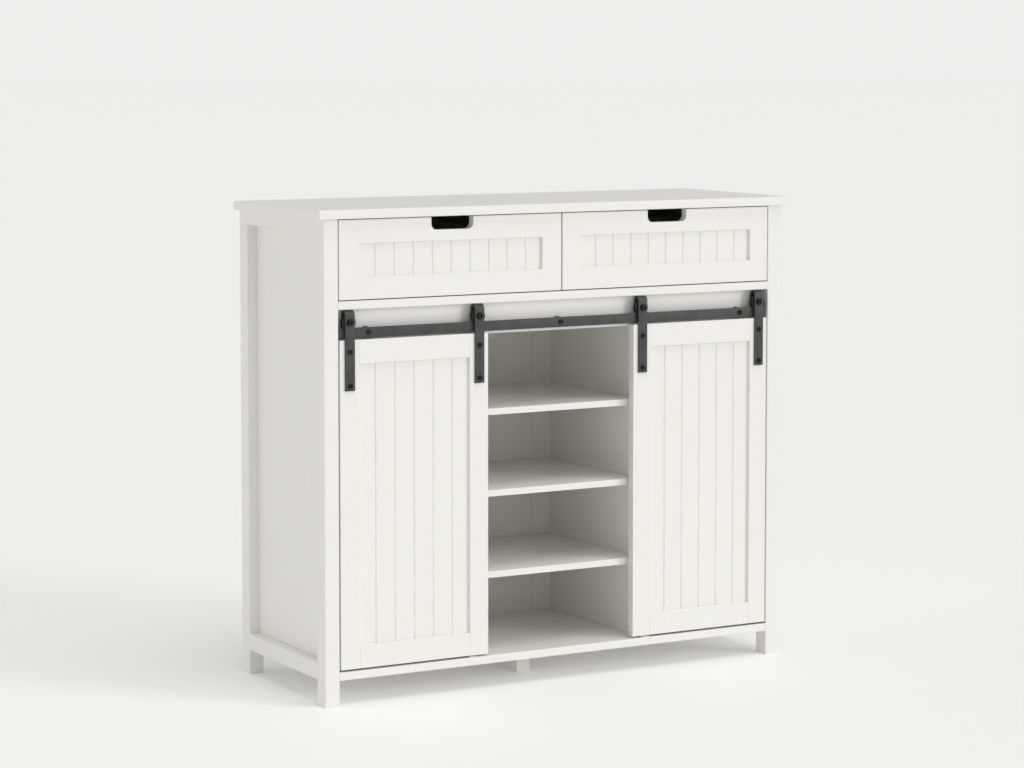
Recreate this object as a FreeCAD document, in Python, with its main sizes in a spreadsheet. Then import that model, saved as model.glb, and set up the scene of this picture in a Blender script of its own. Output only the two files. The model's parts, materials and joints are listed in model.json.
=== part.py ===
"""Sideboard with two drawers over three bays and two sliding doors that hang from a flat track.

Frame: X to the right, Y to the back, Z up, in millimetres. The origin is on the floor, at the centre of
the top board's outline. Every driving size is one cell of the sheet "Sizes", and every solid is bound to
those cells by expressions, which are written here with the cells' aliases.
"""

import FreeCAD, Part
import os
import re
import Sketcher

SIZES = {
    # overall
    "overall_width": 1080,
    "overall_depth": 400,
    "overall_height": 960,
    # top board
    "top_thickness": 18,
    "top_side_overhang": 14,
    "top_front_overhang": 12,
    "top_round": 2,
    # side frames
    "post_width": 31,
    "post_depth": 36,
    "post_round": 1.5,
    "side_recess": 20,
    "side_top_rail_height": 28,
    "side_bottom_rail_height": 33,
    # carcass boards
    "floor_clearance": 50,
    "board_thickness": 16,
    "board_round": 0.8,
    "partition_thickness": 15,
    "partition_lap": 22,
    "cleat_width": 46,
    "cleat_thickness": 3,
    "back_thickness": 4,
    "back_setback": 12,
    "rear_rail_height": 40,
    "rear_rail_thickness": 16,
    "fascia_height": 63,
    "fascia_thickness": 12,
    "fascia_setback": 21,
    "carcass_front_gap": 4,
    "foot_width": 30,
    "foot_length": 180,
    "foot_front_setback": 100,
    "foot_offset": 32,
    # shelves
    "shelf_thickness": 13,
    "shelf_setback": 2,
    # drawers
    "drawer_opening_height": 158,
    "drawer_edge_gap": 2,
    "drawer_middle_gap": 3,
    "divider_thickness": 15,
    "front_thickness": 18,
    "front_round": 1.2,
    "drawer_stile": 43,
    "drawer_top_frame": 46,
    "drawer_bottom_frame": 43.5,
    "drawer_recess": 6,
    "drawer_bead_pitch": 41.6,
    "grip_width": 93,
    "grip_depth": 25,
    "grip_round": 12,
    "drawer_rear_gap": 8,
    "drawer_side_height": 105,
    "drawer_side_thickness": 12,
    "drawer_lift": 14,
    "drawer_bottom_lift": 10,
    "drawer_bottom_thickness": 4,
    "drawer_bottom_tongue": 5,
    "runner_gap": 13,
    "runner_height": 26,
    "runner_reach": 9,
    "runner_wall": 1.5,
    "runner_play": 1,
    "runner_lift": 20,
    # doors
    "door_width": 324,
    "door_side_gap": 3,
    "door_floor_gap": 4,
    "door_track_gap": 3,
    "door_thickness": 18,
    "door_stile": 41,
    "door_top_rail": 46.5,
    "door_bottom_rail": 45.5,
    "door_round": 0.8,
    "door_recess": 6,
    "door_panel_thickness": 6,
    "door_panel_tongue": 6,
    "bead_pitch": 42,
    "bead_depth": 1.8,
    "bead_cutter": 6,
    "guide_inset": 32,
    "guide_thickness": 3,
    "guide_length": 20,
    "guide_base": 2,
    "guide_base_width": 12,
    "guide_play": 0.7,
    "guide_rise": 8,
    # track and hangers
    "track_height": 20,
    "track_thickness": 5,
    "track_bolt_inset": 64,
    "stop_width": 4,
    "stop_rise": 8,
    "spacer_radius": 6,
    "spacer_flange_radius": 11,
    "spacer_flange_thickness": 3,
    "strap_width": 20.5,
    "strap_thickness": 3.5,
    "strap_gap": 13,
    "strap_top_gap": 1.5,
    "strap_length": 155.5,
    "strap_tail": 32.5,
    "strap_corner": 1.5,
    "axle_drop": 23.5,
    "axle_radius": 4,
    "axle_head_radius": 7.5,
    "axle_head_height": 5.5,
    "axle_rivet_radius": 6,
    "axle_rivet_height": 1.5,
    "wheel_tread_radius": 11,
    "wheel_width": 10,
    "wheel_hub_radius": 6.5,
    "wheel_track_gap": 0.2,
    "flange_bolt_gap": 0.8,
    "groove_play": 0.6,
    "running_fit": 0.05,
    "hub_play": 0.3,
    "bolt_radius": 3,
    "bolt_fit": 0.05,
    "bolt_head_radius": 5.5,
    "strap_bolt_head": 3.4,
    "track_bolt_head": 2.6,
    "bolt_grip": 12,
    "hex_radius": 2.3,
    "hex_depth": 1.8,
    "head_round": 1,
    "upper_bolt_drop": 81,
    "lower_bolt_drop": 146.5,
    # how far a cutter passes the faces that it cuts through
    "cut_over": 5,
}

SIDES = ("left", "right")
ENDS = ("outer", "inner")
CENTRE_SHELVES = 3
SIDE_SHELVES = 2
DOOR_BEADS = 5
DRAWER_BEADS = 9

# Planes and lines that several pieces share, as expressions of the aliases.
FRONT = "(top_front_overhang - overall_depth / 2)"
REAR = "(overall_depth / 2)"
OUTSIDE = "(overall_width / 2 - top_side_overhang)"
INSIDE = f"({OUTSIDE} - post_width)"
TOP_UNDER = "(overall_height - top_thickness)"
BOTTOM_TOP = "(floor_clearance + board_thickness)"
DECK_TOP = f"({TOP_UNDER} - drawer_opening_height)"
DECK_UNDER = f"({DECK_TOP} - board_thickness)"
BACK_FACE = f"({REAR} - back_setback - back_thickness)"
FASCIA_FRONT = f"({FRONT} + fascia_setback)"
FASCIA_UNDER = f"({DECK_UNDER} - fascia_height)"
CARCASS_FRONT = f"({FRONT} + front_thickness + carcass_front_gap)"
DOOR_OUTER = f"({INSIDE} - door_side_gap)"
DOOR_INNER = f"({DOOR_OUTER} - door_width)"
PARTITION_INNER = f"({DOOR_INNER} + partition_lap)"
PARTITION_OUTER = f"({PARTITION_INNER} + partition_thickness)"
DOOR_REAR = f"({FRONT} + door_thickness)"
STRAP_TOP = f"({DECK_UNDER} - strap_top_gap)"
AXLE = f"({STRAP_TOP} - axle_drop)"
TRACK_TOP = f"({AXLE} - wheel_tread_radius - wheel_track_gap)"
TRACK_MIDDLE = f"({TRACK_TOP} - track_height / 2)"
TRACK_BOLT = f"({DOOR_OUTER} - track_bolt_inset)"
WHEEL_PLANE = f"({FRONT} + strap_gap / 2)"
TRACK_FRONT = f"({WHEEL_PLANE} - track_thickness / 2)"
TRACK_REAR = f"({WHEEL_PLANE} + track_thickness / 2)"
DOOR_TOP = f"({TRACK_TOP} - track_height - door_track_gap)"
DOOR_BOTTOM = f"({BOTTOM_TOP} + door_floor_gap)"
GUIDE_MIDDLE = f"({DOOR_INNER} + guide_inset)"
GUIDE_PLANE = f"(({FRONT} + {DOOR_REAR}) / 2)"
FRONT_BOTTOM = f"({DECK_TOP} + drawer_edge_gap)"
FRONT_TOP = f"({TOP_UNDER} - drawer_edge_gap)"
FRONT_OUTER = f"({INSIDE} - drawer_edge_gap)"
FRONT_INNER = "(drawer_middle_gap / 2)"
BOX_FRONT = f"({FRONT} + front_thickness)"
RAIL_FRONT = f"({BACK_FACE} - rear_rail_thickness)"
BOX_REAR = f"({RAIL_FRONT} - drawer_rear_gap)"
BOX_OUTER = f"({INSIDE} - runner_gap)"
BOX_INNER = "(divider_thickness / 2 + runner_gap)"
BOX_BOTTOM = f"({DECK_TOP} + drawer_lift)"
BOX_TOP = f"({BOX_BOTTOM} + drawer_side_height)"
BOX_FLOOR = f"({BOX_BOTTOM} + drawer_bottom_lift)"
BOX_FLOOR_TOP = f"({BOX_FLOOR} + drawer_bottom_thickness)"
BOX_FLOOR_OUTER = f"({BOX_OUTER} - drawer_side_thickness + drawer_bottom_tongue)"
BOX_FLOOR_INNER = f"({BOX_INNER} + drawer_side_thickness - drawer_bottom_tongue)"
RUNNER_BOTTOM = f"({BOX_BOTTOM} + runner_lift)"

doc = FreeCAD.newDocument("Sideboard")
sheet = doc.addObject("Spreadsheet::Sheet", "Sizes")
for row, (alias, size) in enumerate(SIZES.items(), start=1):
    sheet.set(f"A{row}", alias)
    sheet.set(f"B{row}", str(size))
    sheet.setAlias(f"B{row}", alias)
doc.recompute()


def formula(text):
    """Points each alias in an expression to its cell of the sheet."""
    return re.sub(r"[a-z]+(_[a-z]+)+", lambda found: f"Sizes.{found.group(0)}", str(text))


def value(text):
    """The number that an expression has now."""
    return float(sheet.evalExpression(formula(text)))


def bind(feature, **expressions):
    """Binds the named properties of a feature to expressions."""
    for path, text in expressions.items():
        feature.setExpression(path, formula(text))
    return feature


def place(feature, x, y, z):
    """Binds the place of a feature's own origin."""
    for axis, text in zip("xyz", (x, y, z)):
        feature.setExpression(f"Placement.Base.{axis}", formula(text))
    return feature


def turn(feature, axis, degrees):
    """Turns a feature about an axis through its own origin."""
    feature.Placement = FreeCAD.Placement(FreeCAD.Vector(), FreeCAD.Rotation(FreeCAD.Vector(*axis), degrees))


def spanned(side, low, high):
    """The X span from low to high on the right, or its mirror image on the left."""
    return (low, high) if side == "right" else (f"-({high})", f"-({low})")


def signed(side, distance):
    """The X place at a distance from the middle towards that side."""
    return distance if side == "right" else f"-({distance})"


def new_body(label):
    """An empty body, named after its piece."""
    body = doc.addObject("PartDesign::Body", label)
    body.Label = label
    return body


def box(body, x, y, z, kind="AdditiveBox"):
    """A block of the body between three pairs of planes."""
    block = body.newObject(f"PartDesign::{kind}", f"{body.Name}_block")
    bind(block, Length=f"({x[1]}) - ({x[0]})", Width=f"({y[1]}) - ({y[0]})", Height=f"({z[1]}) - ({z[0]})")
    return place(block, x[0], y[0], z[0])


def cut_box(body, x, y, z):
    """Takes a block out of the body."""
    return box(body, x, y, z, "SubtractiveBox")


def rod(body, radius, length, x=0, y=0, z=0, kind="AdditiveCylinder", axis="Z"):
    """A cylinder of the body from a point along Z, or towards the rear along Y."""
    cylinder = body.newObject(f"PartDesign::{kind}", f"{body.Name}_rod")
    if axis == "Y":
        turn(cylinder, (1, 0, 0), -90)
    bind(cylinder, Radius=radius, Height=length)
    return place(cylinder, x, y, z)


def cut_rod(body, radius, length, x, y, z):
    """Drills the body from a point towards the rear."""
    return rod(body, radius, length, x, y, z, "SubtractiveCylinder", "Y")


def fillet(body, radius, edges=None):
    """Rounds the named edges of the body as it is so far, or all of them."""
    base = body.Tip
    rounding = body.newObject("PartDesign::Fillet", f"{body.Name}_rounding")
    rounding.Base = (base, edges or ["Edge1"])
    rounding.UseAllEdges = edges is None
    return bind(rounding, Radius=radius)


def edges_where(body, test):
    """Names of the edges, of the body as it is so far, whose bounds pass a test."""
    doc.recompute()
    edges = body.Tip.Shape.Edges
    return [f"Edge{number}" for number, edge in enumerate(edges, start=1) if test(edge.BoundBox)]


def runs_along_y(bounds):
    """Whether an edge is a straight one along Y."""
    return bounds.YLength > 1 and bounds.XLength < 0.01 and bounds.ZLength < 0.01


def board(label, x, y, z, rounding="board_round"):
    """A board with slightly rounded edges."""
    body = new_body(label)
    box(body, x, y, z)
    fillet(body, rounding)
    return body


def group(label, pieces):
    """Alike pieces as one node of separate solids."""
    compound = doc.addObject("Part::Compound", label)
    compound.Label = label
    compound.Links = pieces
    return compound


def repeat_along_x(body, feature, pitch, count):
    """Repeats a feature of the body along X."""
    pattern = body.newObject("PartDesign::LinearPattern", f"{body.Name}_pattern")
    pattern.Originals = [feature]
    pattern.Direction = (next(o for o in body.Origin.OriginFeatures if o.Role == "X_Axis"), [""])
    pattern.Occurrences = count
    bind(pattern, Length=f"{pitch} * {count - 1}")
    body.Tip = pattern


def cut_beads(body, middle, face, z, pitch, count):
    """Cuts upright V grooves at an even pitch into a face that looks to the front."""
    cutter = body.newObject("PartDesign::SubtractiveBox", f"{body.Name}_bead")
    turn(cutter, (0, 0, 1), 45)
    bind(cutter, Length="bead_cutter", Width="bead_cutter", Height=f"({z[1]}) - ({z[0]})")
    first = f"{middle} - {pitch} * {(count - 1) / 2}"
    place(cutter, first, f"{face} + bead_depth - bead_cutter * sqrt(2)", z[0])
    repeat_along_x(body, cutter, pitch, count)


def top_board():
    """The board over everything, with a rounded rim."""
    x = ("-overall_width / 2", "overall_width / 2")
    return board("top_board", x, (f"-{REAR}", REAR), (TOP_UNDER, "overall_height"), "top_round")


def posts():
    """Four corner posts that run from the floor to the top board."""
    rows = {"front": (FRONT, f"{FRONT} + post_depth"), "rear": (f"{REAR} - post_depth", REAR)}
    return [
        board(f"post_{row}_{side}", spanned(side, INSIDE, OUTSIDE), y, ("0", TOP_UNDER), "post_round")
        for row, y in rows.items()
        for side in SIDES
    ]


def side_frames():
    """A recessed panel between a top and a bottom rail at each side, all flush inside with the posts."""
    y = (f"{FRONT} + post_depth", f"{REAR} - post_depth")
    panel_bottom = "(floor_clearance + side_bottom_rail_height)"
    panel_top = f"({TOP_UNDER} - side_top_rail_height)"
    panel_z = (panel_bottom, panel_top)
    panels = [
        board(f"side_panel_{side}", spanned(side, INSIDE, f"{OUTSIDE} - side_recess"), y, panel_z)
        for side in SIDES
    ]
    rails = {"top": (panel_top, TOP_UNDER), "bottom": ("floor_clearance", panel_bottom)}
    grouped = [
        group(
            f"side_{level}_rails",
            [board(f"side_{level}_rail_{side}", spanned(side, INSIDE, OUTSIDE), y, z) for side in SIDES],
        )
        for level, z in rails.items()
    ]
    return panels + grouped


def decks():
    """The bottom board and the deck under the drawers, between the side frames."""
    x = (f"-{INSIDE}", INSIDE)
    y = (FRONT, BACK_FACE)
    return [
        board("bottom_board", x, y, ("floor_clearance", BOTTOM_TOP)),
        board("drawer_deck", x, y, (DECK_UNDER, DECK_TOP)),
    ]


def back():
    """The thin back panel, the rail that holds it at the top and two cleats that hold it in the centre bay."""
    x = (f"-{INSIDE}", INSIDE)
    panel = board("back_panel", x, (BACK_FACE, f"{BACK_FACE} + back_thickness"), ("floor_clearance", TOP_UNDER))
    rail = board("rear_rail", x, (RAIL_FRONT, BACK_FACE), (f"{TOP_UNDER} - rear_rail_height", TOP_UNDER))
    cleat_y = (f"{BACK_FACE} - cleat_thickness", BACK_FACE)
    cleats = [
        board(
            f"back_cleat_{side}",
            spanned(side, f"{PARTITION_INNER} - cleat_width", PARTITION_INNER),
            cleat_y,
            (BOTTOM_TOP, DECK_UNDER),
        )
        for side in SIDES
    ]
    return [panel, rail, group("back_cleats", cleats)]


def partitions():
    """The two uprights beside the centre bay, notched for the fascia, and the divider between the drawers."""
    pieces = []
    for side in SIDES:
        x = spanned(side, PARTITION_INNER, PARTITION_OUTER)
        upright = board(f"partition_{side}", x, (CARCASS_FRONT, BACK_FACE), (BOTTOM_TOP, DECK_UNDER))
        notch_x = (f"{x[0]} - cut_over", f"{x[1]} + cut_over")
        notch_y = (f"{CARCASS_FRONT} - cut_over", f"{FASCIA_FRONT} + fascia_thickness")
        cut_box(upright, notch_x, notch_y, (FASCIA_UNDER, f"{DECK_UNDER} + cut_over"))
        pieces.append(upright)
    half = "divider_thickness / 2"
    divider_y = (CARCASS_FRONT, RAIL_FRONT)
    pieces.append(board("drawer_divider", (f"-{half}", half), divider_y, (DECK_TOP, TOP_UNDER)))
    return pieces


def shelves():
    """Fixed shelves that divide each bay into equal heights under the fascia."""
    bays = {
        "centre": [(f"-{PARTITION_INNER}", PARTITION_INNER)],
        "side": [spanned(side, PARTITION_OUTER, INSIDE) for side in SIDES],
    }
    counts = {"centre": CENTRE_SHELVES, "side": SIDE_SHELVES}
    rears = {"centre": f"{BACK_FACE} - cleat_thickness", "side": BACK_FACE}
    grouped = []
    for bay, spans in bays.items():
        count = counts[bay]
        y = (f"{CARCASS_FRONT} + shelf_setback", rears[bay])
        clear = f"(({FASCIA_UNDER} - {BOTTOM_TOP} - {count} * shelf_thickness) / {count + 1})"
        pieces = []
        for column, x in enumerate(spans):
            for level in range(count):
                low = f"{BOTTOM_TOP} + {level + 1} * {clear} + {level} * shelf_thickness"
                pieces.append(board(f"{bay}_shelf_{column}_{level}", x, y, (low, f"{low} + shelf_thickness")))
        grouped.append(group(f"{bay}_shelves", pieces))
    return grouped


def centre_foot():
    """A narrow block that carries the middle of the bottom board."""
    x = ("-foot_offset - foot_width / 2", "foot_width / 2 - foot_offset")
    y = (f"{FRONT} + foot_front_setback", f"{FRONT} + foot_front_setback + foot_length")
    return board("centre_foot", x, y, ("0", "floor_clearance"))


def socket_bolt(label, x, y, z, head_height, length):
    """A socket button bolt: y is the plane under its head, and its shank runs to the rear."""
    bolt = new_body(label)
    turn(bolt, (1, 0, 0), 90)
    rod(bolt, "bolt_head_radius", head_height)
    rim = edges_where(bolt, lambda bounds: bounds.ZMin > value(head_height) / 2)
    fillet(bolt, "head_round", rim)
    rod(bolt, "bolt_radius", length, z=f"-({length})")
    socket = bolt.newObject("PartDesign::SubtractivePrism", f"{label}_socket")
    socket.Polygon = 6
    bind(socket, Circumradius="hex_radius", Height="hex_depth + head_round")
    place(socket, 0, 0, f"{head_height} - hex_depth")
    return place(bolt, x, y, z)


def track():
    """The fascia, and the flat bar that is bolted to it on spacers, with a stop at each end."""
    fascia_y = (FASCIA_FRONT, f"{FASCIA_FRONT} + fascia_thickness")
    fascia = board("track_fascia", (f"-{INSIDE}", INSIDE), fascia_y, (FASCIA_UNDER, DECK_UNDER))
    bar = board(
        "track_bar",
        (f"-{DOOR_OUTER}", DOOR_OUTER),
        (TRACK_FRONT, TRACK_REAR),
        (f"{TRACK_TOP} - track_height", TRACK_TOP),
    )
    hole = "bolt_radius + bolt_fit"
    length = f"({FASCIA_FRONT} - {TRACK_FRONT} + fascia_thickness / 2)"
    standoff = f"({FASCIA_FRONT} - {TRACK_REAR})"
    bolts = []
    spacers = []
    z = TRACK_MIDDLE
    for number, x in enumerate((f"-{TRACK_BOLT}", "0", TRACK_BOLT)):
        cut_rod(bar, hole, "track_thickness + cut_over * 2", x, f"{TRACK_FRONT} - cut_over", z)
        cut_rod(fascia, hole, "fascia_thickness / 2 + cut_over", x, f"{FASCIA_FRONT} - cut_over", z)
        bolts.append(socket_bolt(f"track_bolt_{number}", x, TRACK_FRONT, z, "track_bolt_head", length))
        spacer = new_body(f"track_spacer_{number}")
        turn(spacer, (1, 0, 0), -90)
        rod(spacer, "spacer_radius", standoff)
        flange = "spacer_flange_thickness"
        rod(spacer, "spacer_flange_radius", flange, z=f"{standoff} - {flange}")
        rod(spacer, hole, f"{standoff} + cut_over * 2", z="-cut_over", kind="SubtractiveCylinder")
        spacers.append(place(spacer, x, TRACK_REAR, z))
    stops = [
        board(
            f"track_stop_{side}",
            spanned(side, f"{DOOR_OUTER} - stop_width", DOOR_OUTER),
            (TRACK_FRONT, TRACK_REAR),
            (TRACK_TOP, f"{TRACK_TOP} + stop_rise"),
        )
        for side in SIDES
    ]
    grouped = {"track_bolts": bolts, "track_spacers": spacers, "track_stops": stops}
    return [fascia, bar, *[group(label, alike) for label, alike in grouped.items()]]


def door_guides():
    """A plate on the bottom board under each door, with a fin that stands in the door's groove."""
    tops = {
        "guide_base_width / 2": f"{BOTTOM_TOP} + guide_base",
        "guide_thickness / 2": f"{DOOR_BOTTOM} + guide_rise",
    }
    guides = []
    for side in SIDES:
        x = spanned(side, f"{GUIDE_MIDDLE} - guide_length / 2", f"{GUIDE_MIDDLE} + guide_length / 2")
        guide = new_body(f"door_guide_{side}")
        for half, top in tops.items():
            box(guide, x, (f"{GUIDE_PLANE} - {half}", f"{GUIDE_PLANE} + {half}"), (BOTTOM_TOP, top))
        guides.append(guide)
    return group("door_guides", guides)


def door_wood(side):
    """Two stiles, two rails and a beaded panel held in their grooves, with the guide groove underneath."""
    y = (FRONT, DOOR_REAR)
    z = (DOOR_BOTTOM, DOOR_TOP)
    inner_stile = spanned(side, DOOR_INNER, f"{DOOR_INNER} + door_stile")
    outer_stile = spanned(side, f"{DOOR_OUTER} - door_stile", DOOR_OUTER)
    between = spanned(side, f"{DOOR_INNER} + door_stile", f"{DOOR_OUTER} - door_stile")
    rail_planes = {
        "top": (f"{DOOR_TOP} - door_top_rail", DOOR_TOP),
        "bottom": (DOOR_BOTTOM, f"{DOOR_BOTTOM} + door_bottom_rail"),
    }
    stiles = {
        "outer": board(f"{side}_door_stile_outer", outer_stile, y, z, "door_round"),
        "inner": board(f"{side}_door_stile_inner", inner_stile, y, z, "door_round"),
    }
    rails = {
        level: board(f"{side}_door_{level}_rail", between, y, planes, "door_round")
        for level, planes in rail_planes.items()
    }
    tongue = "door_panel_tongue"
    panel_x = (f"{between[0]} - {tongue}", f"{between[1]} + {tongue}")
    panel_y = (f"{FRONT} + door_recess", f"{FRONT} + door_recess + door_panel_thickness")
    panel_z = (f"{rail_planes['bottom'][1]} - {tongue}", f"{rail_planes['top'][0]} + {tongue}")
    for piece in (*stiles.values(), *rails.values()):
        cut_box(piece, panel_x, panel_y, panel_z)
    half = "(guide_thickness / 2 + guide_play)"
    groove_y = (f"{GUIDE_PLANE} - {half}", f"{GUIDE_PLANE} + {half}")
    groove_z = (BOTTOM_TOP, f"{DOOR_BOTTOM} + guide_rise + guide_play")
    for piece in (*stiles.values(), rails["bottom"]):
        cut_box(piece, (f"-{OUTSIDE}", OUTSIDE), groove_y, groove_z)
    panel = new_body(f"{side}_door_panel")
    box(panel, panel_x, panel_y, panel_z)
    middle = f"({between[0]} + {between[1]}) / 2"
    cut_beads(panel, middle, panel_y[0], panel_z, "bead_pitch", DOOR_BEADS)
    return stiles, rails, panel


def hanger(side, end, x):
    """A flat strap on the door's face that bends over the wheel, drilled for the axle and two bolts."""
    strap = new_body(f"{side}_door_hanger_{end}")
    radius = "(strap_gap / 2 + strap_thickness)"
    bend = f"({STRAP_TOP} - {radius})"
    x_span = (f"{x} - strap_width / 2", f"{x} + strap_width / 2")
    for kind, bend_radius in (("AdditiveCylinder", radius), ("SubtractiveCylinder", "strap_gap / 2")):
        arch = strap.newObject(f"PartDesign::{kind}", f"{strap.Name}_bend")
        turn(arch, (0, 1, 0), 90)
        bind(arch, Radius=bend_radius, Height="strap_width")
        place(arch, x_span[0], WHEEL_PLANE, bend)
    bend_y = (f"{WHEEL_PLANE} - {radius}", f"{WHEEL_PLANE} + {radius}")
    cut_box(strap, x_span, bend_y, (f"{bend} - {radius}", bend))
    rear_y = (f"{FRONT} + strap_gap", f"{FRONT} + strap_gap + strap_thickness")
    legs = {
        "front": ((f"{FRONT} - strap_thickness", FRONT), f"{STRAP_TOP} - strap_length"),
        "rear": (rear_y, f"{STRAP_TOP} - strap_tail"),
    }
    for y, foot in legs.values():
        box(strap, x_span, y, (foot, bend))
        foot_height = value(foot)
        corners = edges_where(strap, lambda b: runs_along_y(b) and abs(b.ZMin - foot_height) < 0.01)
        fillet(strap, "strap_corner", corners)
    before = f"{FRONT} - strap_thickness - cut_over"
    through = "strap_gap + strap_thickness * 2 + cut_over * 2"
    cut_rod(strap, "axle_radius + running_fit", through, x, before, AXLE)
    for drop in ("upper_bolt_drop", "lower_bolt_drop"):
        through = "strap_thickness + cut_over * 2"
        cut_rod(strap, "bolt_radius + bolt_fit", through, x, before, f"{STRAP_TOP} - {drop}")
    return strap


def axle(side, end, x):
    """A headed pin through both legs of a strap, riveted over at the rear."""
    pin = new_body(f"{side}_door_axle_{end}")
    turn(pin, (1, 0, 0), -90)
    span = "(strap_gap + strap_thickness * 2)"
    rod(pin, "axle_head_radius", "axle_head_height", z="-axle_head_height")
    rim = edges_where(pin, lambda bounds: bounds.ZMax < -value("axle_head_height") / 2)
    fillet(pin, "head_round", rim)
    rod(pin, "axle_radius", f"{span} + axle_rivet_height")
    rod(pin, "axle_rivet_radius", "axle_rivet_height", z=span)
    return place(pin, x, f"{FRONT} - strap_thickness", AXLE)


def wheel(side, end, x):
    """A grooved wheel turned about its axle: a tread between two flanges, and a hub that spaces it."""
    body = new_body(f"{side}_door_wheel_{end}")
    sketch = body.newObject("Sketcher::SketchObject", f"{body.Name}_profile")
    plane = next(o for o in body.Origin.OriginFeatures if o.Role == "XY_Plane")
    sketch.AttachmentSupport = [(plane, "")]
    sketch.MapMode = "FlatFace"
    flange = "(wheel_tread_radius + track_height / 2 - bolt_head_radius - flange_bolt_gap)"
    hub_half = "(strap_gap / 2 - hub_play)"
    groove_half = "(track_thickness / 2 + groove_play)"
    bore = "(axle_radius + running_fit)"
    outline = [
        (bore, f"-{hub_half}"),
        ("wheel_hub_radius", f"-{hub_half}"),
        ("wheel_hub_radius", "-wheel_width / 2"),
        (flange, "-wheel_width / 2"),
        (flange, f"-{groove_half}"),
        ("wheel_tread_radius", f"-{groove_half}"),
        ("wheel_tread_radius", groove_half),
        (flange, groove_half),
        (flange, "wheel_width / 2"),
        ("wheel_hub_radius", "wheel_width / 2"),
        ("wheel_hub_radius", hub_half),
        (bore, hub_half),
    ]
    corners = [FreeCAD.Vector(value(radius), value(along), 0) for radius, along in outline]
    count = len(corners)
    for number in range(count):
        sketch.addGeometry(Part.LineSegment(corners[number], corners[(number + 1) % count]), False)
    for number in range(count):
        sketch.addConstraint(Sketcher.Constraint("Coincident", number, 2, (number + 1) % count, 1))
    for number, expressions in enumerate(outline):
        for kind, text, now in zip(("DistanceX", "DistanceY"), expressions, corners[number]):
            index = sketch.addConstraint(Sketcher.Constraint(kind, -1, 1, number, 1, now))
            sketch.setExpression(f"Constraints[{index}]", formula(text))
    turning = body.newObject("PartDesign::Revolution", f"{body.Name}_turning")
    turning.Profile = sketch
    turning.ReferenceAxis = (sketch, ["V_Axis"])
    turning.Angle = 360
    return place(body, x, WHEEL_PLANE, AXLE)


def door(side):
    """One sliding door with its two hangers, their bolts, axles and wheels."""
    stiles, rails, panel = door_wood(side)
    middles = {"outer": f"({DOOR_OUTER} - door_stile / 2)", "inner": f"({DOOR_INNER} + door_stile / 2)"}
    bolts = []
    axles = []
    pieces = []
    pilot_length = "bolt_grip + bolt_fit"
    for end in ENDS:
        x = signed(side, middles[end])
        for drop in ("upper_bolt_drop", "lower_bolt_drop"):
            z = f"{STRAP_TOP} - {drop}"
            cut_rod(stiles[end], "bolt_radius + bolt_fit", pilot_length, x, FRONT, z)
            length = "(strap_thickness + bolt_grip)"
            label = f"{side}_door_bolt_{end}_{len(bolts)}"
            bolts.append(socket_bolt(label, x, f"{FRONT} - strap_thickness", z, "strap_bolt_head", length))
        pieces.append(hanger(side, end, x))
        pieces.append(wheel(side, end, x))
        axles.append(axle(side, end, x))
    hardware = [group(f"{side}_door_bolts", bolts), group(f"{side}_door_axles", axles)]
    return [*stiles.values(), *rails.values(), panel, *pieces, *hardware]


def drawer_front(side):
    """A front board with a beaded recess and a finger cut-out in its top edge."""
    x = spanned(side, FRONT_INNER, FRONT_OUTER)
    y = (FRONT, BOX_FRONT)
    middle = f"(({x[0]} + {x[1]}) / 2)"
    front = board(f"{side}_drawer_front", x, y, (FRONT_BOTTOM, FRONT_TOP), "front_round")
    before = f"{FRONT} - cut_over"
    behind = f"{BOX_FRONT} + cut_over"
    grip_x = (f"{middle} - grip_width / 2", f"{middle} + grip_width / 2")
    grip_floor = f"({FRONT_TOP} - grip_depth)"
    cut_box(front, grip_x, (before, behind), (grip_floor, f"{FRONT_TOP} + cut_over"))
    floor_height = value(grip_floor)
    corners = edges_where(front, lambda b: runs_along_y(b) and abs(b.ZMin - floor_height) < 0.01)
    fillet(front, "grip_round", corners)
    field_x = (f"{x[0]} + drawer_stile", f"{x[1]} - drawer_stile")
    field_z = (f"{FRONT_BOTTOM} + drawer_bottom_frame", f"{FRONT_TOP} - drawer_top_frame")
    field_face = f"{FRONT} + drawer_recess"
    cut_box(front, field_x, (before, field_face), field_z)
    floor_x = spanned(side, BOX_FLOOR_INNER, BOX_FLOOR_OUTER)
    cut_box(front, floor_x, (f"{BOX_FRONT} - drawer_bottom_tongue", behind), (BOX_FLOOR, BOX_FLOOR_TOP))
    cut_beads(front, middle, field_face, field_z, "drawer_bead_pitch", DRAWER_BEADS)
    return front


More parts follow.
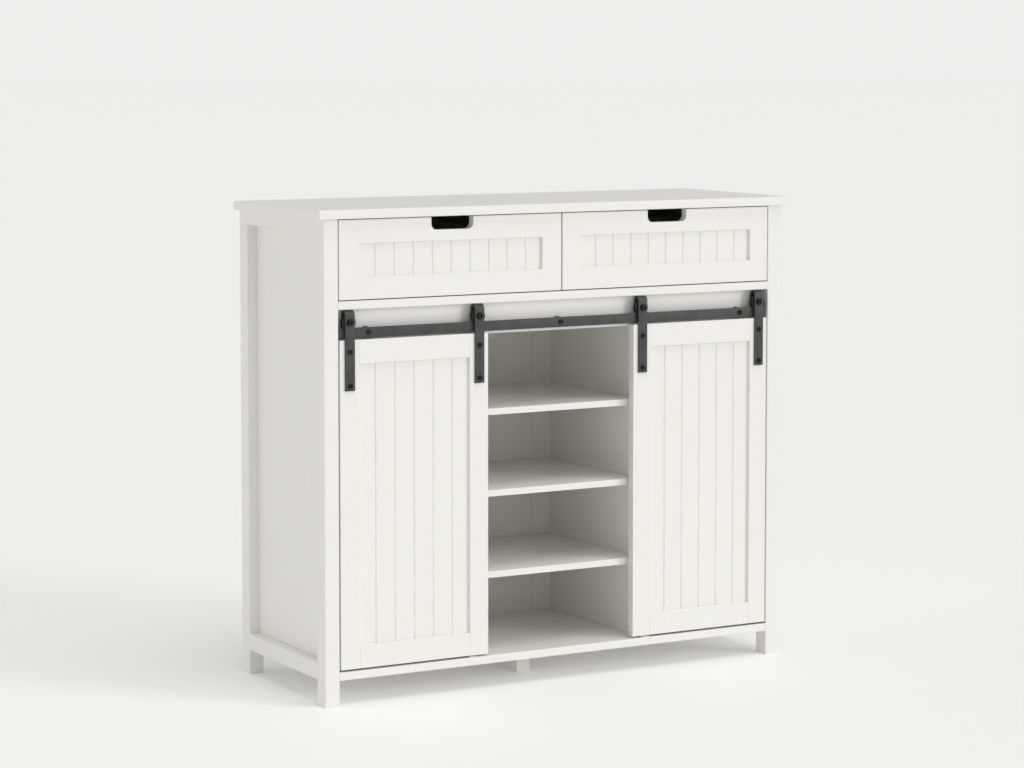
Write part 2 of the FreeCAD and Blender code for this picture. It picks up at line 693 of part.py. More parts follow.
def drawer(side):
    """One drawer: front, two sides, back, a bottom in grooves, and a runner on each side."""
    bottom_x = spanned(side, BOX_FLOOR_INNER, BOX_FLOOR_OUTER)
    bottom_z = (BOX_FLOOR, BOX_FLOOR_TOP)
    walls = {
        "outer": (f"{BOX_OUTER} - drawer_side_thickness", BOX_OUTER),
        "inner": (BOX_INNER, f"{BOX_INNER} + drawer_side_thickness"),
    }
    length = (BOX_FRONT, BOX_REAR)
    sides = []
    for end, span in walls.items():
        wall = board(f"{side}_drawer_side_{end}", spanned(side, *span), length, (BOX_BOTTOM, BOX_TOP))
        cut_box(wall, bottom_x, (f"{BOX_FRONT} - cut_over", f"{BOX_REAR} + cut_over"), bottom_z)
        sides.append(wall)
    back_x = spanned(side, walls["inner"][1], walls["outer"][0])
    back_y = (f"{BOX_REAR} - drawer_side_thickness", BOX_REAR)
    back_board = board(f"{side}_drawer_back", back_x, back_y, (BOX_FLOOR_TOP, BOX_TOP))
    bottom = new_body(f"{side}_drawer_bottom")
    box(bottom, bottom_x, (f"{BOX_FRONT} - drawer_bottom_tongue", BOX_REAR), bottom_z)
    slide_z = (
        f"{RUNNER_BOTTOM} + runner_wall + runner_play",
        f"{RUNNER_BOTTOM} + runner_height - runner_wall - runner_play",
    )
    reach = "(runner_gap - runner_wall - runner_play)"
    slide_spans = {
        "outer": (BOX_OUTER, f"{BOX_OUTER} + {reach}"),
        "inner": (f"{BOX_INNER} - {reach}", BOX_INNER),
    }
    slides = [
        board(f"{side}_drawer_runner_{end}", spanned(side, *span), length, slide_z)
        for end, span in slide_spans.items()
    ]
    grouped = [group(f"{side}_drawer_sides", sides), group(f"{side}_drawer_runners", slides)]
    return [drawer_front(side), back_board, bottom, *grouped]


def cabinet_runners():
    """A channel beside each drawer wall, fixed to the side frames and to the divider."""
    channels = []
    y = (CARCASS_FRONT, BOX_REAR)
    z = (RUNNER_BOTTOM, f"{RUNNER_BOTTOM} + runner_height")
    hollow_z = (f"{z[0]} + runner_wall", f"{z[1]} - runner_wall")
    hollow_y = (f"{CARCASS_FRONT} - cut_over", f"{BOX_REAR} + cut_over")
    outer_lip = f"{INSIDE} - runner_reach"
    inner_lip = "divider_thickness / 2 + runner_reach"
    inner_hollow = ("divider_thickness / 2 + runner_wall", f"{inner_lip} + cut_over")
    spans = {
        "outer": ((outer_lip, INSIDE), (f"{outer_lip} - cut_over", f"{INSIDE} - runner_wall")),
        "inner": (("divider_thickness / 2", inner_lip), inner_hollow),
    }
    for side in SIDES:
        for end, (outer_span, hollow_span) in spans.items():
            channel = new_body(f"{side}_channel_{end}")
            box(channel, spanned(side, *outer_span), y, z)
            cut_box(channel, spanned(side, *hollow_span), hollow_y, hollow_z)
            channels.append(channel)
    return group("cabinet_runners", channels)


def check_and_write(pieces):
    """Recomputes, refuses anything that failed, and writes one file for each piece."""
    doc.recompute()
    for item in doc.Objects:
        if {"Invalid", "Error"} & set(item.State):
            raise RuntimeError(f"{item.Label} is {item.State}")
    os.makedirs("parts", exist_ok=True)
    for piece in pieces:
        if piece.Shape.isNull() or not piece.Shape.isValid():
            raise RuntimeError(f"{piece.Label} has no valid shape")
    for piece in pieces:
        piece.Shape.exportStep(f"parts/{piece.Label}.step")


def main():
    """Builds every piece from the carcass outwards and writes them."""
    pieces = [top_board(), *posts(), *side_frames(), *decks(), *back(), *partitions(), *shelves()]
    pieces += [centre_foot(), *track(), door_guides(), cabinet_runners()]
    for side in SIDES:
        pieces += door(side)
        pieces += drawer(side)
    check_and_write(pieces)


main()
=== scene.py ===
"""Sideboard with two drawers, three shelved bays and two doors that roll on a flat black track.

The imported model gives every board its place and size. This file dresses those boards with their
finishes and builds the pieces whose looks need more shape: the beaded door panels, the strap
hangers, the grooved wheels, the bolts, the track, the drawer runners and the pins in the back.
Lengths are in metres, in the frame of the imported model: X to the right, Y to the back, Z up.
"""

import json
import logging
import math
from collections.abc import Sequence
from dataclasses import dataclass, field
from enum import Enum

import bpy
import numpy as np
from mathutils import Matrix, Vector


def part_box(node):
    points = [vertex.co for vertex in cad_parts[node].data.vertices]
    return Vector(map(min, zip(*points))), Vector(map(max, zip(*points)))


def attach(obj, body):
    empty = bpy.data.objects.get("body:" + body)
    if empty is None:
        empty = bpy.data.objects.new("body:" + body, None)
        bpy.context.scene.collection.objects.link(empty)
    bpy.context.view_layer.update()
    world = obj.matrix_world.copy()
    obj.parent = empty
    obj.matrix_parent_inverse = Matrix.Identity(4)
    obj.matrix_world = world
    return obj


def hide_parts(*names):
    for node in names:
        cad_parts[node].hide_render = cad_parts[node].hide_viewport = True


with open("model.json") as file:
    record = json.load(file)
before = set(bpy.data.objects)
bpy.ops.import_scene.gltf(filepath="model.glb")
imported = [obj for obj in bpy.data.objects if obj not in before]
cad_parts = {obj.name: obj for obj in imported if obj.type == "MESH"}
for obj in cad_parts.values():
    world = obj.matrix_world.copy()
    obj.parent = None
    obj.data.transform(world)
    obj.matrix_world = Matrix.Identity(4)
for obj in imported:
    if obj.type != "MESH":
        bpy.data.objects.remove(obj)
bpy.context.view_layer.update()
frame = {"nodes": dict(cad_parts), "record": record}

LOG = logging.getLogger("sideboard")
MM = 0.001
STUDIO_WHITE = (1.0, 1.0, 0.995, 1.0)
FINE_CREASE = 20
DOME_START = math.radians(38)
Triple = tuple[float, float, float]
Colour = Triple
Solid = tuple[np.ndarray, list[np.ndarray]]


class Side(Enum):
    """The two halves of the sideboard, with the sign of X on each."""

    LEFT = -1
    RIGHT = 1

    @property
    def label(self) -> str:
        """The word that node names start with."""
        return self.name.lower()


class End(Enum):
    """The two ends of a door, away from and towards the middle of the sideboard."""

    OUTER = "outer"
    INNER = "inner"


# -------------------------------------------------------------------------------------------------
# Shader networks
# -------------------------------------------------------------------------------------------------


class Signal:
    """A number socket of a shader network, on which arithmetic adds Math nodes."""

    def __init__(self, network: "Network", socket: bpy.types.NodeSocket) -> None:
        """Keeps the socket and the network that it is in.

        Args:
            network: The network to which new nodes are added.
            socket: The output socket that carries the value.
        """
        self.network = network
        self.socket = socket

    def _maths(self, operation: str, *values: "Signal | float") -> "Signal":
        """Adds one Math node.

        Args:
            operation: The node's operation.
            *values: Its inputs in order.

        Returns:
            The node's output.
        """
        inputs = dict(enumerate(values))
        node = self.network.add("ShaderNodeMath", {"operation": operation}, inputs)
        return Signal(self.network, node.outputs[0])

    def __add__(self, other: "Signal | float") -> "Signal":
        """The sum."""
        return self._maths("ADD", self, other)

    def __radd__(self, other: float) -> "Signal":
        """The sum with a number on the left."""
        return self._maths("ADD", other, self)

    def __mul__(self, other: "Signal | float") -> "Signal":
        """The product."""
        return self._maths("MULTIPLY", self, other)

    def __rmul__(self, other: float) -> "Signal":
        """The product with a number on the left."""
        return self._maths("MULTIPLY", other, self)

    def ramp(self, low: float, high: float) -> "Signal":
        """The value's place between two bounds, held to the range from 0 to 1.

        Args:
            low: The value that becomes 0.
            high: The value that becomes 1.

        Returns:
            The scaled value.
        """
        node = self.network.add("ShaderNodeMapRange", {"clamp": True}, {0: self, 1: low, 2: high})
        return Signal(self.network, node.outputs[0])


class Network:
    """A material's nodes, added one at a time with their settings and inputs."""

    NOISE_ROUGHNESS = 0.55

    def __init__(self, name: str) -> None:
        """Starts an empty material.

        Args:
            name: The material's name.
        """
        self.material = bpy.data.materials.new(name)
        self.material.use_nodes = True
        self.tree = self.material.node_tree
        self.tree.nodes.clear()
        self.coordinates = self.add("ShaderNodeTexCoord").outputs["Object"]

    def add(
        self, kind: str, settings: dict | None = None, inputs: dict | None = None
    ) -> bpy.types.Node:
        """Adds a node.

        Args:
            kind: The node's type.
            settings: Properties that are set before its inputs.
            inputs: Values, sockets or signals by the input's name or number.

        Returns:
            The node.
        """
        node = self.tree.nodes.new(kind)
        for name, setting in (settings or {}).items():
            setattr(node, name, setting)
        for key, given in (inputs or {}).items():
            given = given.socket if isinstance(given, Signal) else given
            if isinstance(given, bpy.types.NodeSocket):
                self.tree.links.new(given, node.inputs[key])
            else:
                node.inputs[key].default_value = given
        return node

    def noise(
        self, scale: float, detail: float, stretch: Triple = (1, 1, 1), offset: float = 0
    ) -> Signal:
        """Fractal noise over the object's own coordinates.

        Args:
            scale: Cells in a metre.
            detail: Octaves beyond the first.
            stretch: Factors on the coordinates; below 1 lengthens the pattern along that axis.
            offset: A shift that makes one pattern differ from another.

        Returns:
            The noise, about 0.5 on average.
        """
        place = self.add(
            "ShaderNodeMapping",
            {"vector_type": "POINT"},
            {"Vector": self.coordinates, "Scale": stretch, "Location": (offset, offset, offset)},
        )
        node = self.add(
            "ShaderNodeTexNoise",
            {"noise_dimensions": "3D"},
            {
                "Vector": place.outputs[0],
                "Scale": scale,
                "Detail": detail,
                "Roughness": self.NOISE_ROUGHNESS,
            },
        )
        return Signal(self, node.outputs[0])

    def cells(self, scale: float) -> Signal:
        """Distance to the nearest of scattered points.

        Args:
            scale: Points in a metre along each axis.

        Returns:
            The distance, 0 at a point.
        """
        node = self.add("ShaderNodeTexVoronoi", {}, {"Vector": self.coordinates, "Scale": scale})
        return Signal(self, node.outputs[0])

    def blend(self, factor: Signal, first: Colour, second: Colour) -> bpy.types.NodeSocket:
        """Mixes two colours.

        Args:
            factor: 0 for the first colour and 1 for the second.
            first: The first colour.
            second: The second colour.

        Returns:
            The mixed colour's socket.
        """
        node = self.add(
            "ShaderNodeMix",
            {"data_type": "RGBA"},
            {0: factor, 6: (*first, 1.0), 7: (*second, 1.0)},
        )
        return node.outputs[2]

    def finish(
        self, inputs: dict, height: Signal, relief: float, strength: float
    ) -> bpy.types.Material:
        """Closes the network with one principled surface.

        Args:
            inputs: The surface's own inputs.
            height: The relief's height from 0 to 1.
            relief: The relief's depth in metres.
            strength: How much of the relief shows.

        Returns:
            The material.
        """
        bump = self.add(
            "ShaderNodeBump", {}, {"Height": height, "Distance": relief, "Strength": strength}
        )
        surface = self.add("ShaderNodeBsdfPrincipled", {}, {**inputs, "Normal": bump.outputs[0]})
        self.add("ShaderNodeOutputMaterial", {}, {"Surface": surface.outputs[0]})
        return self.material


# -------------------------------------------------------------------------------------------------
# Finishes
# -------------------------------------------------------------------------------------------------


@dataclass(frozen=True)
class SatinPaint:
    """Sprayed satin paint over smooth board: faint drift, orange peel and an uneven sheen."""

    name: str
    light: Colour
    shade: Colour
    grain: Colour = (1.0, 1.0, 0.12)
    roughness: float = 0.42
    peel_depth: float = 0.05 * MM
    coat: float = 0.12
    coat_roughness: float = 0.3

    def build(self) -> bpy.types.Material:
        """The finish as a material."""
        net = Network(self.name)
        drift = net.noise(2.6, 3.0)
        roller = net.noise(34.0, 3.0, self.grain, 4.0)
        peel = net.noise(520.0, 2.0, (1, 1, 1), 9.0)
        fleck = net.noise(95.0, 4.0, self.grain, 2.0)
        tone = (0.5 * drift + 0.3 * roller + 0.2 * fleck).ramp(0.34, 0.66)
        sheen = self.roughness - 0.05 + 0.07 * drift + 0.06 * fleck
        height = 0.55 * peel + 0.3 * fleck + 0.15 * roller
        inputs = {
            "Base Color": net.blend(tone, self.shade, self.light),
            "Roughness": sheen,
            "Coat Weight": self.coat,
            "Coat Roughness": self.coat_roughness,
        }
        return net.finish(inputs, height, self.peel_depth, 0.6)


@dataclass(frozen=True)
class PowderCoat:
    """Fine-textured black powder coat on steel, a little greyer where the powder is thin."""

    name: str
    dark: Colour = (0.034, 0.034, 0.035)
    pale: Colour = (0.07, 0.07, 0.07)
    roughness: float = 0.4
    texture_depth: float = 0.12 * MM

    def build(self) -> bpy.types.Material:
        """The finish as a material."""
        net = Network(self.name)
        cloud = net.noise(38.0, 4.0)
        grit = net.noise(1500.0, 2.0, (1, 1, 1), 3.0)
        pores = net.cells(900.0)
        tone = (0.55 * cloud + 0.45 * grit).ramp(0.36, 0.68)
        inputs = {
            "Base Color": net.blend(tone, self.dark, self.pale),
            "Roughness": self.roughness + 0.16 * cloud + 0.06 * grit,
            "Specular IOR Level": 0.5,
        }
        return net.finish(inputs, 0.7 * grit + 0.3 * pores, self.texture_depth, 0.55)


@dataclass(frozen=True)
class BlackOxide:
    """Oiled black oxide on machined bolts: near black, and smoother than powder coat."""

    name: str
    dark: Colour = (0.003, 0.003, 0.003)
    pale: Colour = (0.007, 0.007, 0.007)
    roughness: float = 0.07

    def build(self) -> bpy.types.Material:
        """The finish as a material."""
        net = Network(self.name)
        cloud = net.noise(240.0, 3.0)
        scuff = net.noise(1300.0, 2.0, (1, 1, 1), 6.0)
        inputs = {
            "Base Color": net.blend(cloud.ramp(0.35, 0.65), self.dark, self.pale),
            "Roughness": self.roughness + 0.08 * cloud + 0.06 * scuff,
            "Specular IOR Level": 0.35,
        }
        return net.finish(inputs, scuff, 0.02 * MM, 0.4)


@dataclass(frozen=True)
class MouldedNylon:
    """Moulded nylon with fine sparks of its spark-eroded mould and a soft sheen."""

    name: str
    dark: Colour
    pale: Colour
    roughness: float = 0.38

    def build(self) -> bpy.types.Material:
        """The finish as a material."""
        net = Network(self.name)
        cloud = net.noise(60.0, 3.0)
        spark = net.noise(1100.0, 3.0, (1, 1, 1), 5.0)
        inputs = {
            "Base Color": net.blend(cloud.ramp(0.3, 0.7), self.dark, self.pale),
            "Roughness": self.roughness + 0.12 * spark,
        }
        return net.finish(inputs, spark, 0.05 * MM, 0.5)


@dataclass(frozen=True)
class ZincPlate:
    """Rolled zinc-plated steel: bright, drawn along its length, with cloudy patches."""

    name: str
    dark: Colour = (0.42, 0.43, 0.45)
    pale: Colour = (0.66, 0.67, 0.68)
    roughness: float = 0.24

    def build(self) -> bpy.types.Material:
        """The finish as a material."""
        net = Network(self.name)
        drawn = net.noise(420.0, 3.0, (1.0, 0.03, 1.0))
        cloud = net.noise(22.0, 4.0, (1, 1, 1), 7.0)
        tone = (0.6 * cloud + 0.4 * drawn).ramp(0.3, 0.7)
        inputs = {
            "Base Color": net.blend(tone, self.dark, self.pale),
            "Roughness": self.roughness + 0.2 * cloud + 0.08 * drawn,
            "Metallic": 1.0,
        }
        return net.finish(inputs, drawn, 0.03 * MM, 0.4)


@dataclass(frozen=True)
class Finishes:
    """Every finish of the sideboard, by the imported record's material slot, and the bolts' own."""

    materials: dict[str, bpy.types.Material]

    @classmethod
    def build(cls) -> "Finishes":
        """Builds each finish once."""
        kinds = {
            "painted_wood": SatinPaint(
                "warm_white_paint", (0.885, 0.878, 0.848), (0.865, 0.858, 0.828)
            ),
            "panel_board": SatinPaint(
                "panel_white_paint",
                (0.88, 0.873, 0.843),
                (0.85, 0.843, 0.813),
                roughness=0.5,
                coat=0.0,
            ),
            "black_steel": PowderCoat("black_powder_coat"),
            "bolt_black": BlackOxide("black_oxide"),
            "wheel_black": MouldedNylon(
                "black_nylon", (0.018, 0.018, 0.019), (0.034, 0.034, 0.035)
            ),
            "guide_plastic": MouldedNylon("pale_nylon", (0.62, 0.62, 0.6), (0.7, 0.7, 0.68)),
            "runner_steel": ZincPlate("zinc_plate"),
        }
        return cls({slot: finish.build() for slot, finish in kinds.items()})

    def dress(self, piece: bpy.types.Object, finish: str) -> None:
        """Gives a piece a finish in all its material places.

        Args:
            piece: The piece to dress.
            finish: The finish's key.
        """
        places = piece.data.materials
        count = max(1, len(places))
        places.clear()
        for _ in range(count):
            places.append(self.materials[finish])


# -------------------------------------------------------------------------------------------------
# Surfaces
# -------------------------------------------------------------------------------------------------


def loft(rings: np.ndarray, closed: bool = False) -> Solid:
    """Skins a stack of rings: point j of ring i is rings[i, j], and quads join the neighbours.

    Args:
        rings: Points in the shape (rings, points, 3), anticlockwise seen from the last ring.
        closed: Whether the last ring joins the first, instead of a cap at each end.

    Returns:
        The solid's points and its faces.
    """
    count, around = rings.shape[:2]
    row = np.arange(count if closed else count - 1)[:, None]
    column = np.arange(around)[None, :]
    after = (row + 1) % count
    beside = (column + 1) % around
    corners = [
        row * around + column,
        row * around + beside,
        after * around + beside,
        after * around + column,
    ]
    quads = np.stack([np.broadcast_to(c, (len(row), around)) for c in corners], axis=-1)
    faces = list(quads.reshape(-1, 4))
    if not closed:
        faces.append(np.arange(around)[::-1])
        faces.append(np.arange(around) + (count - 1) * around)
    return rings.reshape(-1, 3), faces


def joined(solids: Sequence[Solid]) -> Solid:
    """Several solids as one list of points and faces."""
    points = np.concatenate([s[0] for s in solids])
    starts = np.cumsum([0] + [len(s[0]) for s in solids[:-1]])
    faces = [face + start for (_, own), start in zip(solids, starts) for face in own]
    return points, faces


def rounded_rectangle(width: float, height: float, radius: float, steps: int = 4) -> np.ndarray:
    """A rectangle about the origin with quarter circles at its corners, anticlockwise.

    Each corner is its centre plus radius times (cos a, sin a), with a over its quarter turn.

    Args:
        width: Size along the first axis.
        height: Size along the second axis.
        radius: The corners' radius.
        steps: Segments in each quarter circle.

    Returns:
        Points in the shape (count, 2).
    """
    angles = np.linspace(0, math.pi / 2, steps + 1)
    turns = (np.arange(4) * math.pi / 2)[:, None] + angles[None, :]
    signs = np.array([(1, 1), (-1, 1), (-1, -1), (1, -1)])
    centres = signs * (np.array((width, height)) / 2 - radius)
    arcs = np.stack([np.cos(turns), np.sin(turns)], axis=-1) * radius
    return (centres[:, None, :] + arcs).reshape(-1, 2)


def rounded_block(low: Sequence[float], high: Sequence[float], radius: float) -> Solid:
    """A block with rounded edges, made of rounded rectangles stacked along its longest side.

    At a depth d from either end, less than the radius r, the section is inset by
    r - sqrt(r^2 - (r - d)^2).

    Args:
        low: The block's lowest corner.
        high: The block's highest corner.
        radius: The edges' radius.

    Returns:
        The solid.
    """
    low = np.array(low)
    size = np.array(high) - low
    axis = int(np.argmax(size))
    first, second = (axis + 1) % 3, (axis + 2) % 3
    fall = radius * (1 - np.cos(np.linspace(0, math.pi / 2, 5)))
    inset = radius - np.sqrt(np.maximum(radius**2 - (radius - fall) ** 2, 0))
    depths = np.concatenate([fall, size[axis] - fall[::-1]])
    insets = np.concatenate([inset, inset[::-1]])
    outline = rounded_rectangle(size[first], size[second], radius)
    half = np.array((size[first], size[second])) / 2
    scale = 1 - insets[:, None] / half[None, :]
    flat = outline[None, :, :] * scale[:, None, :]
    rings = np.zeros((*flat.shape[:2], 3))
    rings[..., first] = flat[..., 0] + low[first] + half[0]
    rings[..., second] = flat[..., 1] + low[second] + half[1]
    rings[..., axis] = low[axis] + depths[:, None]
    return loft(rings)


def turned(
    profile: Sequence[tuple[float, float]],
    centre: Sequence[float],
    sides: int = 40,
    hexes: int = 0,
) -> Solid:
    """A shape turned about an axis along Y: ring k has radius r_k, a distance y_k along the axis.

    The first rings may be hexagons, for a socket: the radius at an angle a is then
    r cos(30 deg) / cos((a mod 60 deg) - 30 deg).

    Args:
        profile: Pairs of a radius and a distance along +Y.
        centre: The point at a distance of 0.
        sides: Points in each ring.
        hexes: How many of the first rings are hexagons.

    Returns:
        The solid, capped at its first and last ring.
    """
    angles = np.arange(sides) / sides * 2 * math.pi
    sixth = math.pi / 3
    hexagon = math.cos(sixth / 2) / np.cos(np.mod(angles, sixth) - sixth / 2)
    radii = np.array([r for r, _ in profile])[:, None] * np.ones(sides)[None, :]
    radii[:hexes] *= hexagon[None, :]
    along = np.array([y for _, y in profile])
    rings = np.stack(
        [
            centre[0] + radii * np.sin(angles)[None, :],
            centre[1] + np.broadcast_to(along[:, None], radii.shape),
            centre[2] + radii * np.cos(angles)[None, :],
        ],
        axis=-1,
    )
    return loft(rings)


def dome(radius: float, height: float, edge: float, steps: int = 5) -> list[tuple[float, float]]:
    """A button head's outside from near its top to its rim.

    It is a quarter ellipse over a straight rim: radius times sin a, and the height above the rim
    times (1 - cos a) down from the top.

    Args:
        radius: The head's radius.
        height: The head's height.
        edge: Height of the straight rim.
        steps: Points on the curve.

    Returns:
        Pairs of a radius and a distance behind the head's top.
    """
    angles = np.linspace(DOME_START, math.pi / 2, steps)
    curve = [(radius * math.sin(a), (height - edge) * (1 - math.cos(a))) for a in angles]
    return [*curve, (radius, height)]


def make_piece(
    name: str,
    solid: Solid,
    body: str,
    slot: str,
    finishes: Finishes,
    crease: float = 32,
    finish: str | None = None,
) -> bpy.types.Object:
    """Turns a solid into a dressed object that rides on a body.

    Args:
        name: The piece's name.
        solid: Its points and faces, in place.
        body: The CAD body that it rides on.
        slot: The record's material slot.
        finishes: The sideboard's finishes.
        crease: Edges that turn more than this, in degrees, stay sharp.
        finish: The finish's key, if it isn't the slot's own.

    Returns:
        The object.
    """
    points, faces = solid
    mesh = bpy.data.meshes.new(name)
    mesh.from_pydata(points.tolist(), [], [face.tolist() for face in faces])
    mesh.validate()
    mesh.polygons.foreach_set("use_smooth", np.ones(len(mesh.polygons), dtype=bool))
    mesh.set_sharp_from_angle(angle=math.radians(crease))
    mesh.update()
    piece = bpy.data.objects.new(name, mesh)
    bpy.context.scene.collection.objects.link(piece)
    finishes.dress(piece, finish or slot)
    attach(piece, body)
    LOG.info("%s: %d points on %s", name, len(points), body)
    return piece


def size_of(node: str) -> tuple[np.ndarray, np.ndarray]:
    """A CAD node's lowest and highest corners as arrays."""
    low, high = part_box(node)
    return np.array(low), np.array(high)


# -------------------------------------------------------------------------------------------------
# Sub-assemblies
# -------------------------------------------------------------------------------------------------


@dataclass(frozen=True)
class Fastener:
    """A socket button bolt that looks to the front."""

    head_radius: float = 5.5 * MM
    shank_radius: float = 3.0 * MM
    socket_radius: float = 2.3 * MM
    socket_depth: float = 2.3 * MM
    rim: float = 0.9 * MM
    lead: float = 1.0 * MM

    def solid(self, centre: Sequence[float], head: float, length: float) -> Solid:
        """One bolt.

        Args:
            centre: The middle of the plane under the head.
            head: The head's height.
            length: The shank's length.

        Returns:
            The bolt, its socket included.
        """
        top = -head
        socket = [
            (self.socket_radius * 0.96, top + self.socket_depth),
            (self.socket_radius, top + 0.2 * MM),
        ]
        mouth = [(self.socket_radius * 1.14, top + 0.02 * MM)]
        outside = [(r, top + y) for r, y in dome(self.head_radius, head, self.rim)]
        shank = [
            (self.shank_radius, 0.0),
            (self.shank_radius, length - self.lead),
            (self.shank_radius * 0.7, length),
        ]
        return turned([*socket, *mouth, *outside, *shank], centre, hexes=2)


@dataclass
class Hanger:
    """One strap over one wheel, with its axle and its two bolts."""

    side: Side
    end: End
    thickness: float = 3.5 * MM
    edge_round: float = 0.7 * MM
    bend_steps: int = 20
    low: np.ndarray = field(init=False)
    high: np.ndarray = field(init=False)

    def __post_init__(self) -> None:
        """Reads the strap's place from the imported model."""
        self.low, self.high = size_of(self.strap_node)

    @property
    def strap_node(self) -> str:
        """The CAD node of the strap."""
        return f"{self.side.label}_door_hanger_{self.end.value}"

    @property
    def wheel_node(self) -> str:
        """The CAD node of the wheel."""
        return f"{self.side.label}_door_wheel_{self.end.value}"

    @property
    def middle(self) -> float:
        """The strap's middle along X."""
        return float(self.low[0] + self.high[0]) / 2

    @property
    def axle_height(self) -> float:
        """The height of the wheel's axle."""
        low, high = size_of(self.wheel_node)
        return float(low[2] + high[2]) / 2

    def path(self, tail: float) -> tuple[np.ndarray, np.ndarray]:
        """The strap's middle line: up the front, half a circle over the wheel and down the rear.

        Args:
            tail: The height of the rear leg's lower end.

        Returns:
            Points (y, z) and the unit normals that point out of the bend.
        """
        radius = float(self.high[1] - self.low[1]) / 2 - self.thickness / 2
        depth = (self.low[1] + self.high[1]) / 2
        centre = np.array((depth, self.high[2] - radius - self.thickness / 2))
        angles = np.linspace(math.pi, 0, self.bend_steps + 1)
        normals = np.stack([np.cos(angles), np.sin(angles)], axis=-1)
        arch = centre + radius * normals
        ends = [self.edge_round * f for f in (0.0, 0.3, 1.0)]
        front = np.array([(arch[0, 0], self.low[2] + e) for e in ends])
        rear = np.array([(arch[-1, 0], tail + e) for e in ends[::-1]])
        line = np.concatenate([front, arch, rear])
        ahead, behind = np.tile((-1.0, 0.0), (3, 1)), np.tile((1.0, 0.0), (3, 1))
        return line, np.concatenate([ahead, normals, behind])

    def strap(self, tail: float) -> Solid:
        """A rounded flat section carried along the strap's path, eased at both ends.

        Args:
            tail: The height of the rear leg's lower end.

        Returns:
            The strap.
        """
        line, facing = self.path(tail)
        width = float(self.high[0] - self.low[0])
        section = rounded_rectangle(width, self.thickness, self.edge_round)
        full = 2 * self.edge_round / self.thickness
        ease = np.ones(len(line))
        ease[[0, -1]] = 1 - full * 0.75
        ease[[1, -2]] = 1 - full * 0.3
        trim = 1 - (1 - ease) * self.thickness / width
        rings = np.zeros((len(line), len(section), 3))
        rings[..., 0] = self.middle + section[None, :, 0] * trim[:, None]
        offset = section[None, :, 1] * ease[:, None]
        rings[..., 1] = line[:, None, 0] + facing[:, None, 0] * offset
        rings[..., 2] = line[:, None, 1] + facing[:, None, 1] * offset
        return loft(rings[:, ::-1])

    def wheel(self) -> Solid:
        """A turned section with a tread groove, dished sides and a hub, closed round its bore."""
        low, high = size_of(self.wheel_node)
        centre = (low + high) / 2
        rim = float(high[2] - low[2]) / 2
        half_hub = float(high[1] - low[1]) / 2
        half = 5.0 * MM
        groove = 3.1 * MM
        tread = 11.0 * MM
        hub = 6.5 * MM
        bore = 4.05 * MM
        dish = 0.9 * MM
        soft = 0.5 * MM
        slant = 0.2 * MM
        ring = 2.2 * MM
        sides = 56
        outside = [
            (bore, half_hub),
            (hub - soft, half_hub),
            (hub, half_hub - soft),
            (hub + slant, half - dish),
            (rim - ring - 1.0 * MM, half - dish),
            (rim - ring, half),
            (rim - soft, half),
            (rim, half - soft),
            (rim, groove + soft),
            (rim - soft, groove),
            (tread + soft, groove - slant),
            (tread, groove - slant - soft),
        ]
        profile = np.array(outside + [(r, -y) for r, y in outside[::-1]])
        angles = np.arange(sides) / sides * 2 * math.pi
        rings = np.stack(
            [
                centre[0] + profile[None, :, 0] * np.sin(angles)[:, None],
                np.broadcast_to(centre[1] + profile[None, :, 1], (sides, len(profile))),
                centre[2] + profile[None, :, 0] * np.cos(angles)[:, None],
            ],
            axis=-1,
        )
        return loft(rings, closed=True)

    def axle(self) -> Solid:
        """A domed and socketed head on a washer, its pin, and the rivet head behind the strap."""
        span = float(self.high[1] - self.low[1])
        head = 5.5 * MM
        washer = 1.2 * MM
        socket = 2.9 * MM
        head_radius = 6.4 * MM
        rim = 1.4 * MM
        washer_radius = 7.5 * MM
        pin = 4.0 * MM
        rivet = 6.0 * MM
        chamfer = 0.2 * MM
        profile = [
            (socket * 0.96, -head + 2.6 * MM),
            (socket, -head + 0.3 * MM),
            (socket * 1.12, -head),
            *[(r, -head + y) for r, y in dome(head_radius, head - washer, rim)],
            (washer_radius - chamfer, -washer),
            (washer_radius, -washer + chamfer),
            (washer_radius, 0.0),
            (pin, 0.0),
            (pin, span),
            (rivet, span),
            (rivet, span + 0.8 * MM),
            (4.6 * MM, span + 1.5 * MM),
        ]
        centre = (self.middle, float(self.low[1]), self.axle_height)
        return turned(profile, centre, sides=48, hexes=2)

    def build(self, tail: float, finishes: Finishes) -> None:
        """Builds the strap and the wheel.

        Args:
            tail: The height of the rear leg's lower end.
            finishes: The sideboard's finishes.
        """
        body = f"{self.side.label}_door"
        strap = make_piece(
            f"{self.strap_node}_strap", self.strap(tail), body, "black_steel", finishes
        )
        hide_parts(self.strap_node)
        wheel_body = f"{body}_{self.end.value}_wheel"
        wheel = make_piece(
            f"{self.wheel_node}_turned", self.wheel(), wheel_body, "wheel_black", finishes
        )
        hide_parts(self.wheel_node)


